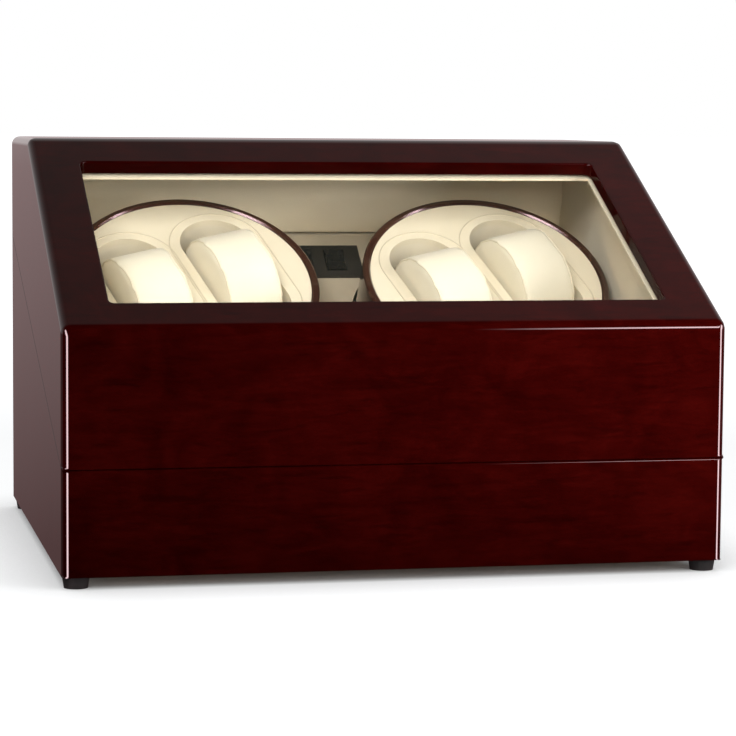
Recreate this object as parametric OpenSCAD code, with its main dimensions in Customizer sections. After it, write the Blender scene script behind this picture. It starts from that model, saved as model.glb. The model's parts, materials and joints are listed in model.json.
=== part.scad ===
// Watch winder box: a lacquered case with a sloping glazed lid over two twin-cushion turntables.
// The frame is millimetres, +Z up, +Y to the back, origin on the ground under the middle of the bounding box.

/* [Case] */
// Width of the case
case_w = 340; // [330:1:360]
// Depth of the case, without the hinges
case_d = 290; // [285:1:300]
// Height of the case, without the feet
case_h = 213; // [210:1:225]
// Height of the upright front, up to where the lid begins to slope
front_h = 123; // [120:1:130]
// Depth of the sloping part of the lid, seen from above
slope_run = 182; // [176:1:186]
// Height of the lid's parting line at the front
split_front = 53; // [50:1:56]
// Height of the lid's parting line at the back
split_back = 157; // [155:1:158]
// Thickness of the case walls
wall = 10; // [9:0.5:10]

/* [Window] */
// Width of the window opening
window_w = 288; // [260:1:300]
// Width of the window frame's bottom rail, along the slope
rail_bottom = 24; // [20:1:30]
// Width of the window frame's top rail, along the slope
rail_top = 28; // [24:1:34]
// Thickness of the window frame
frame_t = 7; // [6:0.5:8]

/* [Turntables] */
// Tilt of the turntables from level, in degrees
tilt = 37.7; // [36:0.1:38]
// Distance from the middle of the case to each turntable's axis
drum_x = 83; // [82:0.5:84]
// Outer radius of a turntable
drum_r = 70; // [68:0.5:70.5]
// How far a turntable stands proud of the deck
drum_proud = 35; // [32:1:36]
// Angle at which the left turntable has stopped, in degrees
left_stop = 18; // [0:1:90]
// Angle at which the right turntable has stopped, in degrees
right_stop = 18; // [0:1:90]

/* [Storage] */
// Lift of the storage cushions above the tray's floor
cushion_rest = 0.3; // [0.2:0.1:1]

/* [Hidden] */
$fn = 64;

// Feet
foot_h = 6;
foot_r = 7;
foot_bottom_r = 6;
foot_inset_x = 8;
foot_inset_y = 10;
// Parting line: half the gap, and the line itself as a height over the case's own floor
gap = 0.3;
split_angle = atan((split_back - split_front) / case_d);
function split_z(y) = split_front + (split_back - split_front) * y / case_d;
// Slope of the lid
slope = atan((case_h - front_h) / slope_run);
slope_len = slope_run / cos(slope);
top_t = 8;
// Space between the case's side walls and between the linings
inner_x = case_w / 2 - wall;
lining_t = 3;
lined_x = inner_x - lining_t - 0.2;
lip = 6;
floor_t = 6;
// Window glass and the lined frame under it
glass_t = 2;
glass_lap = 6;
liner_t = 1.2;
liner_top = frame_t + glass_t + 0.1;
// Hinges: pin axis just behind the back wall, on the parting line
pin_y = case_d + 0.9;
pin_z = split_z(pin_y);
pin_r = 1;
knuckle_r = 2.4;
leaf_t = 1.2;
leaf_gap = 0.15;
hinge_l = 40;
hinge_x = 100;
hinge_screw_r = 1.1;
hinge_screw_l = 9;
open_angle = 95;
heel_r = 5;
heel_span = 26;
heel_angle = open_angle / 2 + 0.2;
rear_reach = pin_y + heel_r * cos(heel_angle - split_angle) - case_d;
// The case's front face lies this far in front of the origin
y_shift = (case_d + rear_reach) / 2;
// Turntable axis: the middle of its upholstered face, in the case's own frame
drum_y = 153;
drum_z = 135.5;
drum_depth = 52;
cup_t = 3;
lip_h = 1.2;
pad_r = 65.6;
pad_t = 4;
// Wells for the cushions
well_x = 26;
well_r = 20;
well_end = 25.5;
well_floor = 45;
well_t = 1;
// Cushions: two half-round ends joined by a flat middle, as a wrist is
cushion_w = 36;
cushion_r = 32;
cushion_half = 2;
cushion_sink = 12;
// Deck and the motor board under it, both parallel to the turntables
deck_t = 5;
deck_low = -83.5;
deck_high = 80.4;
board_t = 5;
board_low = -99;
board_high = 94;
// Drive train
gear_teeth = 60;
pinion_teeth = 18;
gear_module = 1;
gear_r = gear_module * gear_teeth / 2;
pinion_r = gear_module * pinion_teeth / 2;
gear_t = 6;
gear_top = -drum_depth - 2;
board_top = gear_top - gear_t - 2;
motor_x = drum_x - gear_r - pinion_r;
backlash = 0.12;
spindle_r = 4;
bush_bore_r = 4.05;
bush_r = 7;
bush_len = 12;
bush_top = board_top + 1.5;
clip_z = bush_top - bush_len - 1.7;
spindle_low = clip_z - 3;
gearbox_r = 18.5;
gearbox_h = 20;
shaft_r = 3;
motor_r = 12;
motor_h = 27;
motor_offset = 6;
screw_circle = 15.5;
// Switch plate on the deck between the turntables
plate_w = 49;
plate_l = 26.5;
plate_t = 2;
plate_y = 55.5;
rocker_pitch = 19;
rocker_w = 11;
rocker_l = 16.8;
rocker_lean = 8;
rocker_clear = 0.4;
trunnion_r = 1;
// Storage tray, with a row of places
places = 6;
tray_back = 108;
tray_floor_z = floor_t;
tray_wall_h = 49;
divider_h = 38;
divider_t = 3;
// Power socket in the back wall
jack_x = 120;
jack_z = 25;
jack_r = 5.5;
socket_r = 2.8;
socket_depth = 10;
// Control board on the floor behind the turntables
pcb_w = 70;
pcb_d = 45;
pcb_y = 236;
pcb_z = 14;
pcb_t = 1.6;
wire_r = 1.2;

// ---------- frames ----------

// The case's own frame: front face at y 0, underside at z 0
module in_case() {
  translate([0, -y_shift, foot_h]) children();
}

// An outline drawn in y and z, made into a slab from x0 to x1
module slab(x0, x1) {
  translate([x0, 0, 0]) rotate([90, 0, 90]) linear_extrude(x1 - x0) children();
}

// The lid's slope: x across, y up the slope, z out of the case
module on_slope() {
  translate([0, 0, front_h]) rotate([slope, 0, 0]) children();
}

// The turntables' plane, with z along their axes
module on_tilt(x = 0) {
  translate([x, drum_y, drum_z]) rotate([tilt, 0, 0]) children();
}

// The hinge pin's frame: y along the parting plane and out of the back
module at_pin(x = 0) {
  translate([x, pin_y, pin_z]) rotate([split_angle, 0, 0]) children();
}

module both_sides() {
  for (s = [-1, 1]) mirrored_to(s) children();
}

// Mirrors to the left side when s is negative
module mirrored_to(s) {
  mirror([s < 0 ? 1 : 0, 0, 0]) children();
}

// A hole or peg with round ends: half length to the end centres, radius and height
module obround(half, r, h) {
  translate([-r, -half, 0]) cube([2 * r, 2 * half, h]);
  for (s = [-1, 1]) translate([0, s * half, 0]) cylinder(r = r, h = h);
}

// ---------- wooden case ----------

// Outline of a wall strip of the base from y0 to y1
module base_strip(y0, y1) {
  polygon([[y0, 0], [y1, 0], [y1, split_z(y1) - gap], [y0, split_z(y0) - gap]]);
}

// Slots, pilot holes and knuckle clearance for both hinges, taken out of the back walls
module hinge_mortises(clear_up, clear_down) {
  slot_l = hinge_l + 0.4;
  for (x = [-hinge_x, hinge_x]) at_pin(x) {
    at_hinge_screws() translate([0, 0, -hinge_screw_l])
      cylinder(r = hinge_screw_r + 0.05, h = 2 * hinge_screw_l);
    translate([-slot_l / 2, -wall - 2, -clear_down]) cube([slot_l, wall + 2, clear_up + clear_down]);
    translate([-slot_l / 2, 0, 0]) rotate([0, 90, 0]) cylinder(r = knuckle_r + 0.3, h = slot_l);
  }
}

module base_front_panel() {
  color("#3b0b0b") in_case() slab(-inner_x, inner_x) base_strip(0, wall);
}

module base_side(x0) {
  color("#3b0b0b") in_case() difference() {
    slab(x0, x0 + wall) base_strip(0, case_d);
    at_feet() translate([0, 0, -1]) cylinder(r = 1.45, h = foot_h + 1);
  }
}

module base_back_panel() {
  color("#3b0b0b") in_case() difference() {
    slab(-inner_x, inner_x) base_strip(case_d - wall, case_d);
    hinge_mortises(1, leaf_t + 2 * leaf_gap);
    translate([jack_x, case_d - wall - 1, jack_z]) rotate([-90, 0, 0]) cylinder(r = jack_r + 0.1, h = wall + 2);
  }
}

module base_bottom_board() {
  color("#6b4a32") in_case() translate([-inner_x, wall, 0]) cube([2 * inner_x, case_d - 2 * wall, floor_t]);
}

// ---------- feet ----------

module at_feet() {
  for (x = [-1, 1]) for (y = [foot_inset_y, case_d - foot_inset_y]) {
    translate([x * (case_w / 2 - foot_inset_x), y, 0]) children();
  }
}

module rubber_feet() {
  color("#1b1c1c") in_case() at_feet() difference() {
    translate([0, 0, -foot_h]) cylinder(r1 = foot_bottom_r, r2 = foot_r, h = foot_h);
    translate([0, 0, -foot_h - 1]) cylinder(r = 3.2, h = 4);
    translate([0, 0, -foot_h]) cylinder(r = 1.6, h = foot_h + 1);
  }
}

module foot_screws() {
  color("silver") in_case() at_feet() {
    translate([0, 0, -foot_h + 1.4]) cylinder(r = 3, h = 1.6);
    translate([0, 0, -foot_h + 1.4]) cylinder(r = 1.4, h = 2 * foot_h - 2.4);
  }
}

// ---------- upholstered inside of the base ----------

module base_lining() {
  color("#e9e0c4") in_case() {
    slab(-lined_x, lined_x) polygon([
      [wall + 0.2, floor_t], [wall + lining_t, floor_t],
      [wall + lining_t, split_z(wall) + lip], [wall + 0.2, split_z(wall) + lip]
    ]);
    both_sides() slab(inner_x - lining_t, inner_x - 0.2) polygon([
      [wall + 0.2, floor_t], [case_d - wall - lining_t, floor_t],
      [case_d - wall - lining_t, split_z(case_d - wall - lining_t) + lip],
      [wall + 0.2, split_z(wall) + lip]
    ]);
    difference() {
      slab(-lined_x, lined_x) polygon([
        [case_d - wall - 2.5, floor_t], [case_d - wall - 0.2, floor_t],
        [case_d - wall - 0.2, split_z(case_d - wall) - 3], [case_d - wall - 2.5, split_z(case_d - wall) - 3]
      ]);
      translate([jack_x, case_d - wall - 4, jack_z]) rotate([-90, 0, 0]) cylinder(r = 8.5, h = 6);
    }
  }
}

// Where the tilted board ends and the level ledge behind it begins
ledge_y = drum_y + deck_high * cos(tilt) + drum_proud * sin(tilt);
ledge_z = drum_z + deck_high * sin(tilt) - drum_proud * cos(tilt);

// Two upholstered boards: the tilted one that the turntables stand through, and a ledge behind it
module deck_boards() {
  color("#e9e0c4") in_case() translate([-lined_x, ledge_y + 0.3, ledge_z - deck_t])
    cube([2 * lined_x, case_d - wall - lining_t - 1 - ledge_y - 0.3, deck_t]);
  color("#e9e0c4") in_case() on_tilt() translate([0, 0, -drum_proud]) difference() {
    translate([-lined_x, deck_low, -deck_t]) cube([2 * lined_x, deck_high - deck_low, deck_t]);
    for (x = [-drum_x, drum_x]) translate([x, 0, -deck_t - 1]) cylinder(r = drum_r + 1.8, h = deck_t + 2);
    at_plate() translate([-plate_w / 2 + 2.5, -plate_l / 2 + 2.5, -deck_t - 1])
      cube([plate_w - 5, plate_l - 5, deck_t + 2]);
  }
}

// ---------- switches ----------

module at_plate() {
  translate([0, plate_y, 0]) children();
}

module at_switches() {
  for (x = [-rocker_pitch / 2, rocker_pitch / 2]) translate([x, 0, 0]) children();
}

module switch_plate() {
  color("#23231f") in_case() on_tilt() translate([0, 0, -drum_proud]) at_plate() difference() {
    translate([-plate_w / 2, -plate_l / 2, 0.05]) cube([plate_w, plate_l, plate_t]);
    at_switches() translate([-rocker_w / 2 - rocker_clear, -rocker_l / 2 - rocker_clear, -1])
      cube([rocker_w + 2 * rocker_clear, rocker_l + 2 * rocker_clear, plate_t + 2]);
  }
}

// Switch housings: an open box each, with holes for the rocker's trunnions
module switch_bodies() {
  color("#161616") in_case() on_tilt() translate([0, 0, -drum_proud]) at_plate() at_switches() difference() {
    translate([-rocker_w / 2 - 1.4, -rocker_l / 2 - 1.4, -12]) cube([rocker_w + 2.8, rocker_l + 2.8, 12]);
    translate([-rocker_w / 2 - rocker_clear, -rocker_l / 2 - rocker_clear, -7])
      cube([rocker_w + 2 * rocker_clear, rocker_l + 2 * rocker_clear, 8]);
    translate([-rocker_w / 2 - 2, 0, -1.5]) rotate([0, 90, 0])
      cylinder(r = trunnion_r + 0.05, h = rocker_w + 4);
  }
}

module rocker(x) {
  color("#1d1d1b") in_case() on_tilt() translate([0, 0, -drum_proud]) at_plate() translate([x, 0, -1.5])
    rotate([rocker_lean, 0, 0]) {
      slab(-rocker_w / 2, rocker_w / 2) polygon([
        [-rocker_l / 2, 1.6], [-rocker_l / 2 + 0.8, 5], [0, 3.7], [rocker_l / 2 - 0.8, 5],
        [rocker_l / 2, 1.6], [5.5, -3], [-5.5, -3]
      ]);
      translate([-rocker_w / 2 - 1.2, 0, 0]) rotate([0, 90, 0]) cylinder(r = trunnion_r, h = rocker_w + 2.4);
    }
}

// ---------- storage tray ----------

place_w = (2 * lined_x - (places - 1) * divider_t) / places;
function place_x(i) = -lined_x + (i - 0.5) * place_w + (i - 1) * divider_t;

module storage_tray() {
  color("#e9e0c4") in_case() {
    translate([-lined_x, wall + lining_t, tray_floor_z]) cube([2 * lined_x, tray_back - wall - lining_t, 3]);
    translate([-lined_x, tray_back - 3, tray_floor_z + 3]) cube([2 * lined_x, 3, tray_wall_h]);
    for (i = [1:places - 1]) {
      translate([place_x(i) + place_w / 2, wall + lining_t, tray_floor_z + 3])
        cube([divider_t, tray_back - wall - lining_t - 3, divider_h]);
    }
  }
}

storage_r = 21;
storage_half = 18;
module storage_cushion(i) {
  y = (wall + lining_t + tray_back - 3) / 2;
  z = tray_floor_z + 3 + cushion_rest + storage_r;
  color("#efe6cb") in_case() slab(place_x(i) - place_w / 2 + 1.5, place_x(i) + place_w / 2 - 1.5) {
    translate([y - storage_half, z - storage_r]) square([2 * storage_half, 2 * storage_r]);
    for (s = [-1, 1]) translate([y + s * storage_half, z]) circle(r = storage_r);
  }
}

// ---------- motor board and drive ----------

module motor_board() {
  color("#a98a5e") in_case() on_tilt() difference() {
    translate([-inner_x + lining_t + 1, board_low, board_top - board_t])
      cube([2 * (inner_x - lining_t - 1), board_high - board_low, board_t]);
    for (s = [-1, 1]) {
      translate([s * drum_x, 0, board_top - board_t - 1]) cylinder(r = bush_r + 0.05, h = board_t + 2);
      translate([s * motor_x, 0, board_top - board_t - 1]) cylinder(r = 6.2, h = board_t + 2);
      translate([s * motor_x, 0, board_top - board_t - 1]) at_motor_screws() cylinder(r = 1.6, h = board_t + 2);
    }
  }
}

// Battens under the deck and the motor board, against the side walls
module support_cleats() {
  color("tan") in_case() both_sides() {
    on_tilt() translate([inner_x - lining_t - 10.3, 50, board_top - board_t - 10.1]) cube([10, 40, 10]);
    on_tilt() translate([inner_x - lining_t - 10.3, -88, board_top - board_t - 10.1]) cube([10, 40, 10]);
    on_tilt() translate([inner_x - lining_t - 10.3, 66.5, -drum_proud - deck_t - 12.1]) cube([10, 12, 12]);
  }
}

module bearing_bushes() {
  color("goldenrod") in_case() for (x = [-drum_x, drum_x]) on_tilt(x) difference() {
    union() {
      translate([0, 0, bush_top - bush_len]) cylinder(r = bush_r, h = bush_len);
      translate([0, 0, bush_top - 1.5]) cylinder(r = 10, h = 1.5);
    }
    translate([0, 0, bush_top - bush_len - 1]) cylinder(r = bush_bore_r, h = bush_len + 2);
  }
}

module at_motor_screws() {
  for (a = [90:120:330]) rotate([0, 0, a]) translate([screw_circle, 0, 0]) children();
}

// Each a gearbox with a bearing bore for the pinion's shaft, and an offset motor under it
module gear_motors() {
  color("#b9bcc0") in_case() for (x = [-motor_x, motor_x]) on_tilt(x) difference() {
    union() {
      translate([0, 0, board_top - board_t - gearbox_h]) cylinder(r = gearbox_r, h = gearbox_h - 0.05);
      translate([0, 0, board_top - board_t - 1]) cylinder(r = 6, h = 5);
    }
    translate([0, 0, board_top - board_t - 8]) cylinder(r = shaft_r + 0.05, h = 20);
    at_motor_screws() translate([0, 0, board_top - board_t - 6]) cylinder(r = 1.55, h = 7);
  }
  color("#8f9296") in_case() for (x = [-motor_x, motor_x]) on_tilt(x)
    translate([0, motor_offset, board_top - board_t - gearbox_h - 0.05]) {
      translate([0, 0, -motor_h]) cylinder(r = motor_r, h = motor_h);
      translate([0, 0, -motor_h - 1.5]) cylinder(r = 4, h = 1.6);
      for (s = [-1, 1]) translate([s * 7 - 1, -0.4, -motor_h - 4]) cube([2, 0.8, 4.1]);
    }
}

module motor_screws() {
  color("silver") in_case() for (x = [-motor_x, motor_x]) on_tilt(x) at_motor_screws() {
    translate([0, 0, board_top - board_t - 5.5]) cylinder(r = 1.5, h = board_t + 6);
    translate([0, 0, board_top + 0.02]) cylinder(r = 2.8, h = 1.4);
  }
}

// Involute of a circle: the half-tooth angle at radius r, in degrees
function roll(rb, r) = acos(min(1, rb / r));
function involute(rb, r) = tan(roll(rb, r)) * 180 / PI - roll(rb, r);
function half_tooth(n, m, r) =
  let (rp = m * n / 2, rb = rp * cos(20))
  90 / n - backlash / rp * 90 / PI + involute(rb, rp) - involute(rb, max(r, rb));
function flank_radii(n, m) =
  let (rp = m * n / 2, rb = rp * cos(20), root = rp - 1.25 * m, tip = rp + m, low = max(root, rb))
  concat(root < low ? [root] : [], [for (k = [0:4]) low + (tip - low) * k / 4]);
function turned_back(list) = [for (i = [len(list) - 1:-1:0]) list[i]];
function polar(r, a) = [r * cos(a), r * sin(a)];
function gear_outline(n, m) =
  let (rs = flank_radii(n, m))
  [for (i = [0:n - 1]) each concat(
    [for (r = rs) polar(r, 360 * i / n - half_tooth(n, m, r))],
    [for (r = turned_back(rs)) polar(r, 360 * i / n + half_tooth(n, m, r))]
  )];

module drum_gear(x) {
  color("ivory") in_case() on_tilt(x) translate([0, 0, gear_top - gear_t]) difference() {
    linear_extrude(gear_t) polygon(gear_outline(gear_teeth, gear_module));
    translate([0, 0, -1]) cylinder(r = spindle_r + 0.02, h = gear_t + 2);
  }
}

module pinion(x) {
  color("gold") in_case() on_tilt(x) {
    translate([0, 0, gear_top - gear_t]) rotate([0, 0, 180 / pinion_teeth])
      linear_extrude(gear_t) polygon(gear_outline(pinion_teeth, gear_module));
    translate([0, 0, board_top - board_t - 7.5])
      cylinder(r = shaft_r, h = gear_top - board_top + board_t + 8.2);
  }
}

// ---------- turntables ----------

module drum_cup(x) {
  color("#3a1512") in_case() on_tilt(x) rotate_extrude($fn = 96) polygon([
    [spindle_r + 0.02, -drum_depth], [drum_r - 4, -drum_depth], [drum_r, -drum_depth + 4], [drum_r, lip_h - 1],
    [drum_r - 1, lip_h], [pad_r + 1, lip_h], [pad_r + 0.1, lip_h - 0.9], [pad_r + 0.1, -pad_t - 0.1],
    [drum_r - cup_t, -pad_t - 2.5], [drum_r - cup_t, -drum_depth + 6],
    [drum_r - cup_t - 3, -drum_depth + cup_t], [spindle_r + 0.02, -drum_depth + cup_t]
  ]);
}

module at_wells(stop) {
  rotate([0, 0, stop]) for (x = [-well_x, well_x]) translate([x, 0, 0]) children();
}

module drum_pad(x, stop) {
  color("#efe6cb") in_case() on_tilt(x) difference() {
    translate([0, 0, -pad_t]) cylinder(r = pad_r, h = pad_t, $fn = 96);
    at_wells(stop) translate([0, 0, -pad_t - 1]) obround(well_end, well_r, pad_t + 2);
  }
}

module drum_wells(x, stop) {
  color("#e9e0c4") in_case() on_tilt(x) at_wells(stop) difference() {
    translate([0, 0, -well_floor - well_t])
      obround(well_end, well_r + well_t, well_floor + well_t - pad_t - 0.05);
    translate([0, 0, -well_floor]) obround(well_end, well_r, well_floor);
  }
}

// Flanged spindle with its retaining clip in a groove under the bush
module drum_spindle(x) {
  color("silver") in_case() on_tilt(x) {
    difference() {
      union() {
        translate([0, 0, spindle_low]) cylinder(r = spindle_r, h = -drum_depth + cup_t - spindle_low);
        translate([0, 0, -drum_depth + cup_t + 0.02]) cylinder(r = 10, h = 2);
        translate([0, 0, -drum_depth + cup_t - 0.1]) cylinder(r = spindle_r, h = 1);
      }
      translate([0, 0, clip_z - 0.1]) difference() {
        cylinder(r = spindle_r + 1, h = 1.2);
        cylinder(r = spindle_r - 0.8, h = 1.2);
      }
    }
    translate([0, 0, clip_z]) difference() {
      cylinder(r = 6.5, h = 1);
      translate([0, 0, -1]) cylinder(r = spindle_r - 0.75, h = 3);
      translate([0, -1.5, -1]) cube([10, 3, 3]);
    }
  }
}

module winder_cushion(x, stop, side) {
  color("#efe6cb") in_case() on_tilt(x) rotate([0, 0, stop]) translate([side * well_x, 0, -cushion_sink])
    slab(-cushion_w / 2, cushion_w / 2) {
      translate([-cushion_half, -cushion_r]) square([2 * cushion_half, 2 * cushion_r]);
      for (s = [-1, 1]) translate([s * cushion_half, 0]) circle(r = cushion_r);
    }
}

// ---------- electrics ----------

module at_pcb_corners() {
  for (x = [-1, 1]) for (y = [-1, 1])
    translate([x * (pcb_w / 2 - 4), pcb_y + y * (pcb_d / 2 - 4), 0]) children();
}

module control_board() {
  color("darkgreen") in_case() {
    difference() {
      translate([-pcb_w / 2, pcb_y - pcb_d / 2, pcb_z]) cube([pcb_w, pcb_d, pcb_t]);
      at_pcb_corners() translate([0, 0, pcb_z - 1]) cylinder(r = 1.6, h = 4);
    }
    translate([-6, pcb_y - 6, pcb_z + pcb_t]) cube([12, 12, 1.6]);
    for (p = [[-19, -15], [19, -15], [0, 13], [29, 13]]) {
      translate([p[0] - 5, pcb_y + p[1] - 3, pcb_z + pcb_t]) cube([10, 6, 7]);
    }
    for (x = [-24, -16]) translate([x, pcb_y + 10, pcb_z + pcb_t]) cylinder(r = 2.5, h = 8);
  }
}

module board_standoffs() {
  color("white") in_case() at_pcb_corners() {
    translate([0, 0, floor_t]) cylinder(r = 3, h = pcb_z - floor_t);
    translate([0, 0, pcb_z]) cylinder(r = 1.5, h = pcb_t + 1);
    translate([0, 0, pcb_z + pcb_t]) cylinder(r = 2.4, h = 1);
  }
}

// A run of wires along straight stretches, given as points in the case's frame
module wire(points, r) {
  for (i = [0:len(points) - 2]) {
    d = points[i + 1] - points[i];
    translate(points[i]) rotate([0, acos(d[2] / norm(d)), atan2(d[1], d[0])])
      translate([0, 0, i > 0 ? -r / 3 : 0]) cylinder(r = r, h = norm(d) + (i > 0 ? r / 3 : 0), $fn = 8);
  }
}

// Leads from the motors, the switches and the inlet to the connectors on the control board
module wiring() {
  socket_z = 23.4;
  back_y = pcb_y + 13;
  color("#7a1d1d") in_case() {
    for (s = [-1, 1]) {
      wire([
        [s * motor_x, 232, 43], [s * motor_x, 236, 32],
        [s * 19, pcb_y - 15, 36], [s * 19, pcb_y - 15, socket_z]
      ], wire_r);
      wire([
        [s * 9.5, 226.3, 131.5], [s * 9.5, 233.5, 129.5], [s * 9.5, 262.5, 149], [s * 9.5, 271.8, 143.5],
        [s * 3.5, 271.8, 70], [s * 3.5, back_y, 40], [s * 3.5, back_y, socket_z]
      ], wire_r);
    }
    wire([
      [jack_x, case_d - wall - 7, jack_z], [jack_x - 8, 264, jack_z],
      [40, 258, 36], [29, back_y, 36], [29, back_y, socket_z]
    ], wire_r);
  }
}

module dc_jack() {
  color("#1b1c1c") in_case() translate([jack_x, case_d, jack_z]) rotate([-90, 0, 0]) difference() {
    union() {
      translate([0, 0, -wall - 6]) cylinder(r = jack_r, h = wall + 6);
      cylinder(r = jack_r + 2, h = 1.5);
      translate([0, 0, -wall - 2.2]) cylinder(r = 8, h = 2, $fn = 6);
    }
    translate([0, 0, 1.5 - socket_depth]) cylinder(r = socket_r, h = socket_depth + 1);
  }
}

// ---------- hinges ----------

// A wedge-shaped stop behind the knuckles, from one angle to another
module heel(a0, a1, r0, x0, x1) {
  slab(x0, x1) polygon([polar(r0, a0), polar(heel_r, a0), polar(heel_r, a1), polar(r0, a1)]);
}

third = hinge_l / 3;
module knuckle(x0, x1) {
  translate([x0, 0, 0]) rotate([0, 90, 0]) cylinder(r = knuckle_r, h = x1 - x0);
}

module at_hinge_screws() {
  for (x = [-13, 13]) translate([x, -6, 0]) children();
}

// Screws through one set of leaves: side 1 is the lid's, -1 the base's
module hinge_screws(side) {
  for (x = [-hinge_x, hinge_x]) at_pin(x) at_hinge_screws() mirror([0, 0, side > 0 ? 0 : 1]) {
    translate([0, 0, leaf_gap + 0.1]) cylinder(r = hinge_screw_r, h = hinge_screw_l - 1);
    translate([0, 0, leaf_gap + 0.1]) cylinder(r1 = 2.1, r2 = hinge_screw_r, h = 1);
  }
}

module leaf(side, spans) {
  difference() {
    union() {
      for (s = spans) {
        knuckle(s[0], s[1]);
        heel(side * heel_angle, side * (heel_angle + heel_span), 1.8, s[0], s[1]);
      }
      translate([-hinge_l / 2, -wall, side > 0 ? leaf_gap : -leaf_gap - leaf_t])
        cube([hinge_l, wall - knuckle_r - 0.2, leaf_t]);
      for (s = spans) translate([s[0], -wall / 2, side > 0 ? leaf_gap : -leaf_gap - leaf_t])
        cube([s[1] - s[0], wall / 2, leaf_t]);
      heel(side * heel_angle, side * (heel_angle + heel_span), knuckle_r + 0.3, -hinge_l / 2, hinge_l / 2);
    }
    translate([-hinge_l, 0, 0]) rotate([0, 90, 0]) cylinder(r = pin_r + 0.05, h = 2 * hinge_l);
    at_hinge_screws() mirror([0, 0, side > 0 ? 0 : 1]) {
      translate([0, 0, -1]) cylinder(r = hinge_screw_r + 0.05, h = 4);
      translate([0, 0, leaf_gap - 0.05]) cylinder(r1 = 2.35, r2 = hinge_screw_r + 0.05, h = 1.15);
    }
  }
}

module hinge_base_leaves() {
  color("darkgoldenrod") in_case() for (x = [-hinge_x, hinge_x]) at_pin(x)
    leaf(-1, [[-hinge_l / 2, -third / 2 - 0.2], [third / 2 + 0.2, hinge_l / 2]]);
}

module hinge_lid_leaves() {
  color("darkgoldenrod") in_case() for (x = [-hinge_x, hinge_x]) at_pin(x)
    leaf(1, [[-third / 2, third / 2]]);
}

module hinge_base_screws() {
  color("darkgoldenrod") in_case() hinge_screws(-1);
}

module hinge_lid_screws() {
  color("darkgoldenrod") in_case() hinge_screws(1);
}

module hinge_pins() {
  color("silver") in_case() for (x = [-hinge_x, hinge_x]) at_pin(x)
    translate([-hinge_l / 2, 0, 0]) rotate([0, 90, 0]) cylinder(r = pin_r, h = hinge_l);
}

// ---------- lid ----------

// Height of a plane parallel to the lid's slope, at depth y and t under the surface
function slope_z(y, t) = front_h + y * tan(slope) - t / cos(slope);

module lid_front_panel() {
  color("#3b0b0b") in_case() slab(-inner_x, inner_x) polygon([
    [0, split_z(0) + gap], [wall, split_z(wall) + gap], [wall, slope_z(wall, frame_t)], [0, slope_z(0, frame_t)]
  ]);
}

module lid_side(x0) {
  color("#3b0b0b") in_case() slab(x0, x0 + wall) polygon([
    [0, split_z(0) + gap], [case_d, split_z(case_d) + gap], [case_d, case_h], [slope_run, case_h], [0, front_h]
  ]);
}

module lid_top_panel() {
  color("#3b0b0b") in_case() slab(-inner_x, inner_x) polygon([
    [slope_run, case_h], [case_d - wall, case_h], [case_d - wall, case_h - top_t], [slope_run, case_h - top_t]
  ]);
}

module lid_back_panel() {
  color("#3b0b0b") in_case() difference() {
    slab(-inner_x, inner_x) polygon([
      [case_d - wall, split_z(case_d - wall) + gap], [case_d, split_z(case_d) + gap],
      [case_d, case_h], [case_d - wall, case_h]
    ]);
    hinge_mortises(leaf_t + 2 * leaf_gap, 1);
  }
}

// The window frame: two rails across the slope and two stiles between them
module lid_frame_rails() {
  drop = frame_t / cos(slope);
  y0 = rail_bottom * cos(slope);
  y1 = (slope_len - rail_top) * cos(slope);
  color("#3b0b0b") in_case() {
    slab(-inner_x, inner_x) polygon([
      [0, front_h], [y0, slope_z(y0, 0)],
      [y0 + frame_t * sin(slope), slope_z(y0 + frame_t * sin(slope), frame_t)],
      [0, front_h - drop]
    ]);
    slab(-inner_x, inner_x) polygon([
      [y1, slope_z(y1, 0)], [slope_run, case_h], [slope_run, case_h - drop],
      [y1 + frame_t * sin(slope), slope_z(y1 + frame_t * sin(slope), frame_t)]
    ]);
    both_sides() on_slope() translate([window_w / 2, rail_bottom, -frame_t])
      cube([inner_x - window_w / 2, slope_len - rail_top - rail_bottom, frame_t]);
  }
}

module window_pane() {
  color([0.85, 0.95, 0.95, 0.3]) in_case() on_slope()
    translate([-window_w / 2 - glass_lap, rail_bottom - glass_lap, -frame_t - glass_t - 0.05])
      cube([window_w + 2 * glass_lap, slope_len - rail_top - rail_bottom + 2 * glass_lap, glass_t]);
}

// Upholstered frame that holds the glass from inside
liner_inset = 1;
module lid_frame_lining() {
  u0 = rail_bottom + liner_inset;
  u1 = slope_len - rail_top - liner_inset;
  x1 = window_w / 2 - liner_inset;
  edge = lined_x - 0.2;
  color("#e9e0c4") in_case() on_slope() translate([0, 0, -liner_top - liner_t]) {
    translate([-edge, 17, 0]) cube([2 * edge, u0 - 17, liner_t]);
    translate([-edge, u1, 0]) cube([2 * edge, 18, liner_t]);
    both_sides() translate([x1, u0, 0]) cube([edge - x1, u1 - u0, liner_t]);
  }
}

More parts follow.
